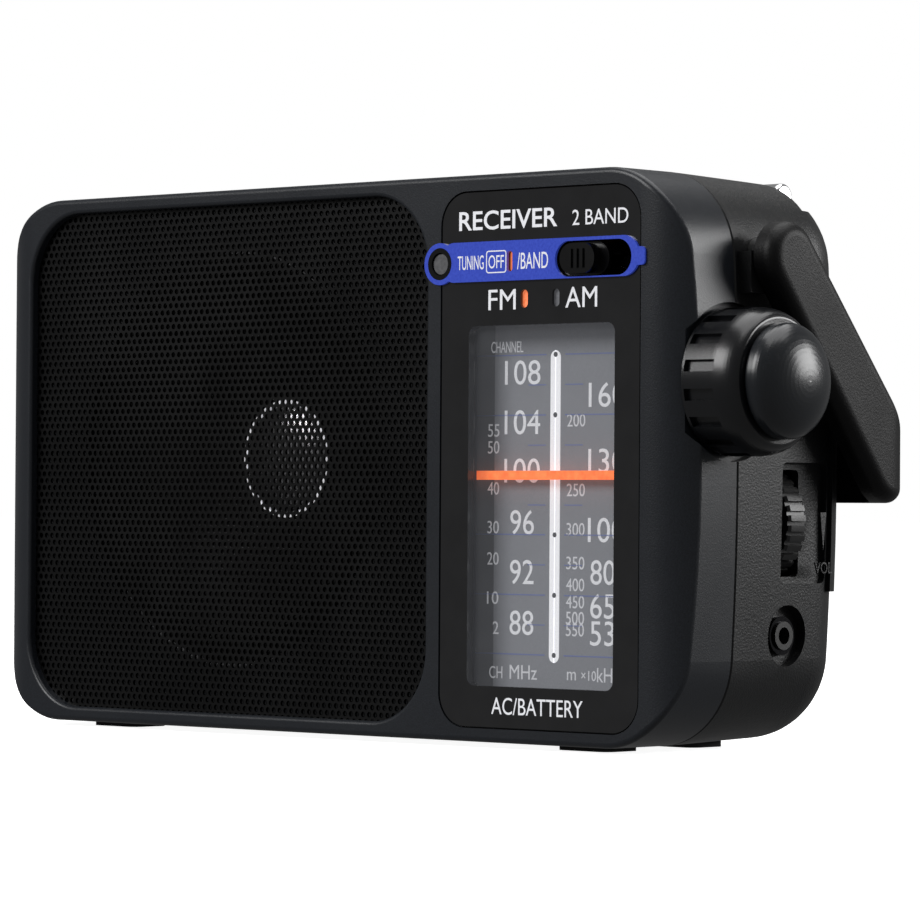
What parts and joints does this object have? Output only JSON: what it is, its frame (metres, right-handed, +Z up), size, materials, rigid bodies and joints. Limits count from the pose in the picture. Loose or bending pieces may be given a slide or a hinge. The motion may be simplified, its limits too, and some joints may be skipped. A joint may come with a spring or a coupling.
{
  "type": "portable radio receiver",
  "caption": "Table-top two-band portable receiver with perforated speaker front, vertical dial, side tuning knob, swing handle and telescopic antenna.",
  "frame": {"origin": "under the middle of the whole set's box, on the plane that its feet stand on", "axes": "+X to the listener's right, +Y from the front face into the set, +Z up"},
  "size_m": [0.2388, 0.0714, 0.122],
  "materials": {
    "cabinet_charcoal": "fine satin",
    "cabinet_black": "fine sparked texture",
    "grille_black": "perforated, satin black",
    "foot_rubber": "matt",
    "screw_steel": "zinc plated",
    "panel_smoke": "polished",
    "window_clear": "clear acrylic",
    "trim_blue": "polished",
    "bezel_black": "polished",
    "lamp_grey": "diffused lens",
    "box_black": "matt",
    "rail_steel": "ground",
    "scale_print": "printed scale",
    "bushing_brass": "turned",
    "capacitor_case": "moulded",
    "bracket_steel": "pressed",
    "cord_thread": "braided thread",
    "switch_steel": "pressed",
    "control_brown": "phenolic",
    "jack_black": "moulded",
    "nut_chrome": "plated",
    "basket_steel": "zinc grey",
    "surround_cloth": "doped cloth",
    "magnet_ferrite": "sintered",
    "board_tan": "paper laminate",
    "can_aluminium": "drawn",
    "chip_black": "moulded",
    "electrolytic_blue": "sleeved",
    "ferrite_grey": "sintered",
    "coil_copper": "enamelled wire",
    "holder_white": "moulded",
    "core_steel": "varnished laminations",
    "winding_tape": "taped winding",
    "inlet_black": "moulded",
    "pin_chrome": "plated",
    "tray_black": "moulded",
    "contact_chrome": "nickel plated",
    "pivot_black": "black oxide",
    "knob_black": "satin",
    "cap_satin": "satin dark lacquer",
    "shaft_steel": "turned",
    "pointer_orange": "fluorescent",
    "drum_white": "moulded",
    "slider_black": "polished",
    "flag_print": "printed patches",
    "wheel_black": "ribbed",
    "cone_paper": "pressed pulp",
    "cap_bright": "polished dome",
    "handle_black": "fine sparked texture",
    "door_black": "fine sparked texture",
    "antenna_chrome": "plated brass"
  },
  "bodies": {
    "case": {"front_cabinet": "cabinet_charcoal", "rear_cabinet": "cabinet_black", "speaker_grille": "grille_black", "rubber_feet": "foot_rubber", "case_screws": "screw_steel", "dial_panel": "panel_smoke", "dial_window": "window_clear", "band_trim": "trim_blue", "led_bezel": "bezel_black", "tuning_led": "lamp_grey", "light_box": "box_black", "pointer_rail": "rail_steel", "dial_scale": "scale_print", "tuning_bushing": "bushing_brass", "tuning_capacitor": "capacitor_case", "drive_brackets": "bracket_steel", "dial_cord": "cord_thread", "band_switch": "switch_steel", "volume_control": "control_brown", "earphone_jack": "jack_black", "jack_nut": "nut_chrome", "speaker_frame": "basket_steel", "speaker_surround": "surround_cloth", "speaker_magnet": "magnet_ferrite", "main_board": "board_tan", "coil_cans": "can_aluminium", "chips": "chip_black", "smoothing_capacitors": "electrolytic_blue", "ferrite_rod": "ferrite_grey", "rod_coil": "coil_copper", "rod_holders": "holder_white", "power_transformer": "core_steel", "transformer_winding": "winding_tape", "mains_inlet": "inlet_black", "inlet_pins": "pin_chrome", "battery_box": "tray_black", "battery_contacts": "contact_chrome", "handle_pivots": "pivot_black"},
    "tuning": {"tuning_knob": "knob_black", "knob_cap": "cap_satin", "tuning_shaft": "shaft_steel"},
    "pointer": {"dial_pointer": "pointer_orange"},
    "drum": {"gang_drum": "drum_white"},
    "idler_top": {"pulley_top": "drum_white"},
    "idler_low": {"pulley_low": "drum_white"},
    "band": {"band_slider": "slider_black", "band_flag": "flag_print"},
    "volume": {"volume_wheel": "wheel_black"},
    "cone": {"speaker_cone": "cone_paper", "dust_cap": "cap_bright", "voice_coil": "coil_copper"},
    "handle": {"handle": "handle_black"},
    "door": {"battery_door": "door_black"},
    "antenna_turntable": {"antenna_base": "antenna_chrome"},
    "antenna_rod": {"antenna_elbow": "antenna_chrome", "antenna_section_1": "antenna_chrome"},
    "antenna_2": {"antenna_section_2": "antenna_chrome"},
    "antenna_3": {"antenna_section_3": "antenna_chrome"},
    "antenna_4": {"antenna_section_4": "antenna_chrome", "antenna_tip": "antenna_chrome"}
  },
  "joints": [
    {"name": "tuning_turn", "type": "hinge", "parent": "case", "child": "tuning", "pos_m": [0.10385, -0.0173, 0.07737], "axis": [1, 0, 0], "range_deg": [-444.6, 661.38]},
    {"name": "pointer_slide", "type": "slide", "parent": "case", "child": "pointer", "axis": [0, 0, 1], "range_m": [-0.03829, 0.02581]},
    {"name": "drum_turn", "type": "hinge", "parent": "case", "child": "drum", "pos_m": [0.02885, 0.00163, 0.09491], "axis": [1, 0, 0], "range_deg": [-73.87, 109.4]},
    {"name": "idler_top_turn", "type": "hinge", "parent": "case", "child": "idler_top", "pos_m": [0.02885, -0.0176, 0.11125], "axis": [1, 0, 0], "range_deg": [-492.06, 730.52]},
    {"name": "idler_low_turn", "type": "hinge", "parent": "case", "child": "idler_low", "pos_m": [0.02885, -0.0176, 0.012], "axis": [1, 0, 0], "range_deg": [-492.06, 730.52]},
    {"name": "band_slide", "type": "slide", "parent": "case", "child": "band", "axis": [1, 0, 0], "range_m": [0, 0.007]},
    {"name": "volume_turn", "type": "hinge", "parent": "case", "child": "volume", "pos_m": [0.08705, 0.0011, 0.04819], "axis": [0, 1, 0], "range_deg": [-70, 210]},
    {"name": "cone_travel", "type": "slide", "parent": "case", "child": "cone", "axis": [0, 1, 0], "range_m": [-0.0008, 0.0008], "stiffness_N_per_m": 900},
    {"name": "handle_swing", "type": "hinge", "parent": "case", "child": "handle", "pos_m": [-0.00615, -0.0065, 0.1035], "axis": [1, 0, 0], "range_deg": [0, 160]},
    {"name": "door_swing", "type": "hinge", "parent": "case", "child": "door", "pos_m": [-0.00615, 0.02525, 0.01855], "axis": [-1, 0, 0], "range_deg": [0, 85]},
    {"name": "antenna_turn", "type": "hinge", "parent": "case", "child": "antenna_turntable", "pos_m": [-0.09715, 0.0179, 0.1148], "axis": [0, 0, 1], "range_deg": [0, 180]},
    {"name": "antenna_tilt", "type": "hinge", "parent": "antenna_turntable", "child": "antenna_rod", "pos_m": [-0.09715, 0.0179, 0.1182], "axis": [0, -1, 0], "range_deg": [0, 90]},
    {"name": "section_2_slide", "type": "slide", "parent": "antenna_rod", "child": "antenna_2", "axis": [1, 0, 0], "range_m": [0, 0.15]},
    {"name": "section_3_slide", "type": "slide", "parent": "antenna_2", "child": "antenna_3", "axis": [1, 0, 0], "range_m": [0, 0.15]},
    {"name": "section_4_slide", "type": "slide", "parent": "antenna_3", "child": "antenna_4", "axis": [1, 0, 0], "range_m": [0, 0.15]}
  ],
  "couplings": [
    {"joint": "pointer_slide", "follows": "tuning_turn", "m_per_rad": -0.0033},
    {"joint": "drum_turn", "follows": "tuning_turn", "ratio": 0.1639},
    {"joint": "idler_top_turn", "follows": "tuning_turn", "ratio": 1.1},
    {"joint": "idler_low_turn", "follows": "tuning_turn", "ratio": 1.1}
  ]
}
